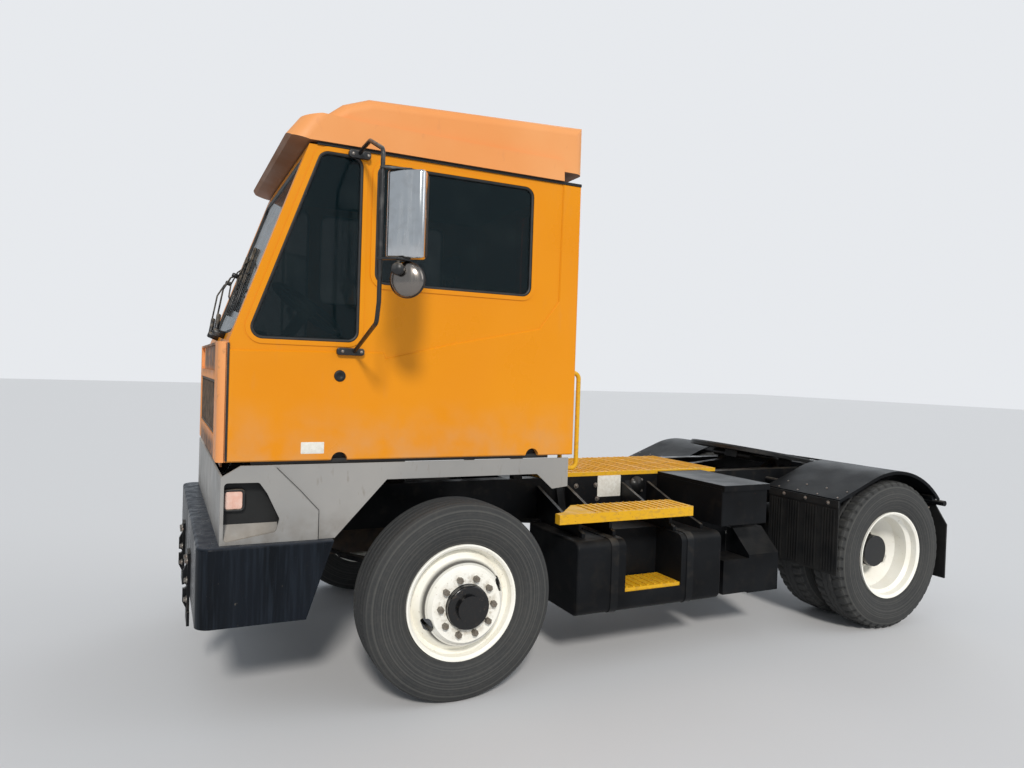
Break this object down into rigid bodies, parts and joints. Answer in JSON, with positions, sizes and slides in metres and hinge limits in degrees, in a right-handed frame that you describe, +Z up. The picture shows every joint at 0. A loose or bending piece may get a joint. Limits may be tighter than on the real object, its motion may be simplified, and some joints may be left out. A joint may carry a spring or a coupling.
{
  "type": "terminal tractor",
  "caption": "Two axle yard tractor with an offset cab on the left, a tilting cab and a fifth wheel on a lifting boom over twin rear wheels.",
  "frame": {"origin": "on the ground under the middle of the overall box: mid length, centreline of the frame rails", "axes": "+X forward, +Y to the driver's left, +Z up"},
  "size_m": [5.1, 3, 3.1039],
  "materials": {
    "cab_yellow": "gloss",
    "roof_salmon": "satin",
    "fender_grey": "satin, sun faded",
    "chassis_black": "satin",
    "step_yellow": "worn gloss",
    "rim_white": "gloss",
    "tyre_rubber": "dusty",
    "rubber_black": "satin",
    "glass_tint": "gloss",
    "steel_bare": "polished",
    "iron_dark": "oily",
    "trim_dark": "matte",
    "seat_fabric": "matte",
    "lamp_clear": "gloss"
  },
  "bodies": {
    "chassis": {"frame_rails": "chassis_black", "frame_crossmembers": "chassis_black", "front_bumper": "chassis_black", "tow_plates": "chassis_black", "front_fenders": "fender_grey", "headlamps": "trim_dark", "deck_plate": "step_yellow", "side_step": "step_yellow", "fuel_tank": "chassis_black", "tank_brackets": "chassis_black", "tank_tread": "step_yellow", "equipment_box": "chassis_black", "rear_fenders": "chassis_black", "fender_brackets": "chassis_black", "mud_guards": "rubber_black", "front_axle": "chassis_black", "front_springs": "chassis_black", "rear_axle": "chassis_black", "engine": "iron_dark", "propshaft": "chassis_black", "radiator": "iron_dark", "rear_lamps": "lamp_clear", "exhaust": "iron_dark"},
    "cab": {"cab_side_left": "cab_yellow", "cab_side_right": "cab_yellow", "side_windows": "glass_tint", "cab_front": "roof_salmon", "windscreen_frame": "cab_yellow", "windscreen": "glass_tint", "cab_rear_wall": "cab_yellow", "cab_floor": "trim_dark", "cab_roof_panel": "trim_dark", "roof_fairing": "roof_salmon", "dashboard": "trim_dark", "driver_seat": "seat_fabric", "mirror_arms": "trim_dark", "mirror_heads": "steel_bare", "grab_rail": "step_yellow", "wipers": "trim_dark", "grille": "roof_salmon"},
    "rear_door": {"rear_door": "cab_yellow"},
    "steering_wheel": {"steering_wheel": "trim_dark"},
    "knuckle_left": {"knuckle_left": "iron_dark"},
    "knuckle_right": {"knuckle_right": "iron_dark"},
    "tie_rod": {"tie_rod": "chassis_black"},
    "wheel_front_left": {"tyre_front_left": "tyre_rubber", "wheel_front_left": "rim_white"},
    "wheel_front_right": {"tyre_front_right": "tyre_rubber", "wheel_front_right": "rim_white"},
    "wheels_rear_left": {"tyres_rear_left": "tyre_rubber", "wheels_rear_left": "rim_white"},
    "wheels_rear_right": {"tyres_rear_right": "tyre_rubber", "wheels_rear_right": "rim_white"},
    "boom": {"boom": "chassis_black"},
    "fifth_wheel": {"fifth_wheel": "iron_dark", "coupling_ramps": "iron_dark", "coupling_ears": "iron_dark", "coupling_lock": "iron_dark"},
    "lift_barrels": {"lift_barrels": "chassis_black"},
    "lift_rods": {"lift_rods": "steel_bare"}
  },
  "joints": [
    {"name": "steer_left", "type": "hinge", "parent": "chassis", "child": "knuckle_left", "pos_m": [1.27, 0.88, 0.512], "axis": [0, 0, 1], "range_deg": [-40, 40]},
    {"name": "steer_right", "type": "hinge", "parent": "chassis", "child": "knuckle_right", "pos_m": [1.27, -0.88, 0.512], "axis": [0, 0, 1], "range_deg": [-40, 40]},
    {"name": "tie_rod_turn", "type": "hinge", "parent": "knuckle_left", "child": "tie_rod", "pos_m": [1.06, 0.88, 0.378], "axis": [0, 0, 1], "range_deg": [-40, 40]},
    {"name": "steering_wheel_turn", "type": "hinge", "parent": "cab", "child": "steering_wheel", "pos_m": [1.96, 0.45, 2], "axis": [-0.5736, 0, 0.8192], "range_deg": [-720, 720]},
    {"name": "wheel_front_left_spin", "type": "hinge", "parent": "knuckle_left", "child": "wheel_front_left", "pos_m": [1.27, 1.02, 0.512], "axis": [0, 1, 0], "continuous": true},
    {"name": "wheel_front_right_spin", "type": "hinge", "parent": "knuckle_right", "child": "wheel_front_right", "pos_m": [1.27, -1.02, 0.512], "axis": [0, 1, 0], "continuous": true},
    {"name": "wheels_rear_left_spin", "type": "hinge", "parent": "chassis", "child": "wheels_rear_left", "pos_m": [-1.9, 0.9035, 0.512], "axis": [0, 1, 0], "continuous": true},
    {"name": "wheels_rear_right_spin", "type": "hinge", "parent": "chassis", "child": "wheels_rear_right", "pos_m": [-1.9, -0.9035, 0.512], "axis": [0, 1, 0], "continuous": true},
    {"name": "cab_tilt", "type": "hinge", "parent": "chassis", "child": "cab", "pos_m": [2.35, 0, 1.08], "axis": [0, 1, 0], "range_deg": [0, 45]},
    {"name": "door_slide", "type": "slide", "parent": "cab", "child": "rear_door", "axis": [0, -1, 0], "range_m": [0, 0.6]},
    {"name": "boom_lift", "type": "hinge", "parent": "chassis", "child": "boom", "pos_m": [-0.95, 0, 0.9], "axis": [0, 1, 0], "range_deg": [0, 28]},
    {"name": "lift_barrel_turn", "type": "hinge", "parent": "chassis", "child": "lift_barrels", "pos_m": [-1.04, 0, 0.62], "axis": [0, 1, 0], "range_deg": [0, 22]},
    {"name": "lift_rod_slide", "type": "slide", "parent": "lift_barrels", "child": "lift_rods", "axis": [-0.8253, 0, 0.5647], "range_m": [0, 0.135]},
    {"name": "coupling_tilt", "type": "hinge", "parent": "boom", "child": "fifth_wheel", "pos_m": [-1.745, 0, 1.02], "axis": [0, 1, 0], "range_deg": [0, 15]}
  ],
  "couplings": [
    {"joint": "steer_right", "follows": "steer_left", "ratio": 1},
    {"joint": "tie_rod_turn", "follows": "steer_left", "ratio": -1},
    {"joint": "steering_wheel_turn", "follows": "steer_left", "ratio": 18},
    {"joint": "lift_barrel_turn", "follows": "boom_lift", "ratio": 0.75666},
    {"joint": "lift_rod_slide", "follows": "boom_lift", "m_per_rad": 0.26379}
  ]
}
